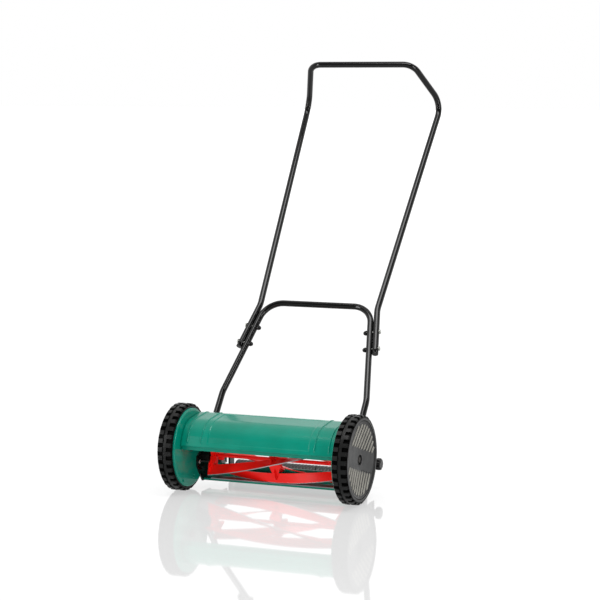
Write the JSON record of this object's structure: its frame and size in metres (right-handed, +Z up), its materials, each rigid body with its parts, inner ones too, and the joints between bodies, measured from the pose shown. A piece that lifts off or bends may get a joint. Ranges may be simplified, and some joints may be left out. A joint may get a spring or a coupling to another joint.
{
  "type": "reel mower",
  "caption": "Hand-push reel mower: helical bladed reel under a curved cover, two lugged drive wheels, rear roller with height knobs and a bent tube handle.",
  "frame": {"origin": "on the ground, midway between the wheels and straight below their axle", "axes": "+Z up, -Y the way it mows, +X to the operator's left"},
  "size_m": [0.522, 0.9036, 1.1205],
  "materials": {
    "green_enamel": "gloss teal green enamel on pressed steel",
    "red_enamel": "gloss red enamel on steel",
    "knife_steel": "ground carbon steel",
    "zinc_steel": "zinc plated steel",
    "black_powder_coat": "gloss black powder coat on steel",
    "black_plastic": "moulded black plastic",
    "wheel_plastic": "moulded charcoal plastic",
    "tyre_rubber": "moulded tread, satin",
    "gear_nylon": "natural moulded nylon",
    "roller_plastic": "ribbed black plastic"
  },
  "bodies": {
    "chassis": {"left_side_plate": "green_enamel", "right_side_plate": "green_enamel", "reel_cover": "green_enamel", "bed_bar": "green_enamel", "bed_knife": "knife_steel", "bed_screws": "zinc_steel", "left_bearing_housing": "black_plastic", "right_bearing_housing": "black_plastic", "left_reel_bearing": "zinc_steel", "right_reel_bearing": "zinc_steel", "left_wheel_axle": "zinc_steel", "right_wheel_axle": "zinc_steel", "axle_clips": "zinc_steel", "left_rear_bracket": "black_powder_coat", "right_rear_bracket": "black_powder_coat", "bracket_bolts": "zinc_steel", "handle_pivot_bolts": "zinc_steel", "handle_stop_pins": "zinc_steel"},
    "left_wheel_unit": {"left_tyre": "tyre_rubber", "left_wheel": "wheel_plastic", "left_ring_gear": "gear_nylon", "left_wheel_bush": "gear_nylon", "left_wheel_cap": "wheel_plastic"},
    "right_wheel_unit": {"right_tyre": "tyre_rubber", "right_wheel": "wheel_plastic", "right_ring_gear": "gear_nylon", "right_wheel_bush": "gear_nylon", "right_wheel_cap": "wheel_plastic"},
    "reel": {"reel_shaft": "red_enamel", "reel_spider_left": "red_enamel", "reel_spider_centre": "red_enamel", "reel_spider_right": "red_enamel", "reel_blade_1": "red_enamel", "reel_blade_2": "red_enamel", "reel_blade_3": "red_enamel", "reel_blade_4": "red_enamel", "reel_blade_5": "red_enamel", "left_pinion": "gear_nylon", "right_pinion": "gear_nylon", "pinion_pawls": "zinc_steel", "pinion_clips": "zinc_steel"},
    "roller_carriage": {"left_roller_holder": "black_powder_coat", "right_roller_holder": "black_powder_coat", "roller_axle": "zinc_steel", "left_height_bolt": "zinc_steel", "right_height_bolt": "zinc_steel"},
    "rear_roller": {"roller_1": "roller_plastic", "roller_2": "roller_plastic", "roller_3": "roller_plastic"},
    "left_knob": {"left_height_knob": "black_plastic"},
    "right_knob": {"right_height_knob": "black_plastic"},
    "handle": {"lower_handle": "black_powder_coat", "upper_handle": "black_powder_coat", "handle_joint_bolts": "black_powder_coat", "handle_dome_nuts": "black_plastic", "tube_end_plugs": "black_plastic"}
  },
  "joints": [
    {"name": "left_wheel_spin", "type": "hinge", "parent": "chassis", "child": "left_wheel_unit", "pos_m": [0.2405, 0, 0.115], "axis": [1, 0, 0], "continuous": true},
    {"name": "right_wheel_spin", "type": "hinge", "parent": "chassis", "child": "right_wheel_unit", "pos_m": [-0.2405, 0, 0.115], "axis": [1, 0, 0], "continuous": true},
    {"name": "reel_spin", "type": "hinge", "parent": "chassis", "child": "reel", "pos_m": [0, 0.07375, 0.084], "axis": [1, 0, 0], "continuous": true},
    {"name": "cutting_height", "type": "slide", "parent": "chassis", "child": "roller_carriage", "axis": [0, 0, 1], "range_m": [-0.019, 0.009]},
    {"name": "roller_spin", "type": "hinge", "parent": "roller_carriage", "child": "rear_roller", "pos_m": [0, 0.204, 0.0246], "axis": [1, 0, 0], "continuous": true},
    {"name": "left_knob_turn", "type": "hinge", "parent": "roller_carriage", "child": "left_knob", "pos_m": [0.233, 0.204, 0.065], "axis": [1, 0, 0], "range_deg": [0, 360]},
    {"name": "right_knob_turn", "type": "hinge", "parent": "roller_carriage", "child": "right_knob", "pos_m": [-0.233, 0.204, 0.065], "axis": [1, 0, 0], "range_deg": [-360, 0]},
    {"name": "handle_swing", "type": "hinge", "parent": "chassis", "child": "handle", "pos_m": [0, 0.084, 0.1193], "axis": [1, 0, 0], "range_deg": [0, 33]}
  ],
  "couplings": [
    {"joint": "right_wheel_spin", "follows": "left_wheel_spin", "ratio": 1},
    {"joint": "reel_spin", "follows": "left_wheel_spin", "ratio": 6.8182}
  ]
}
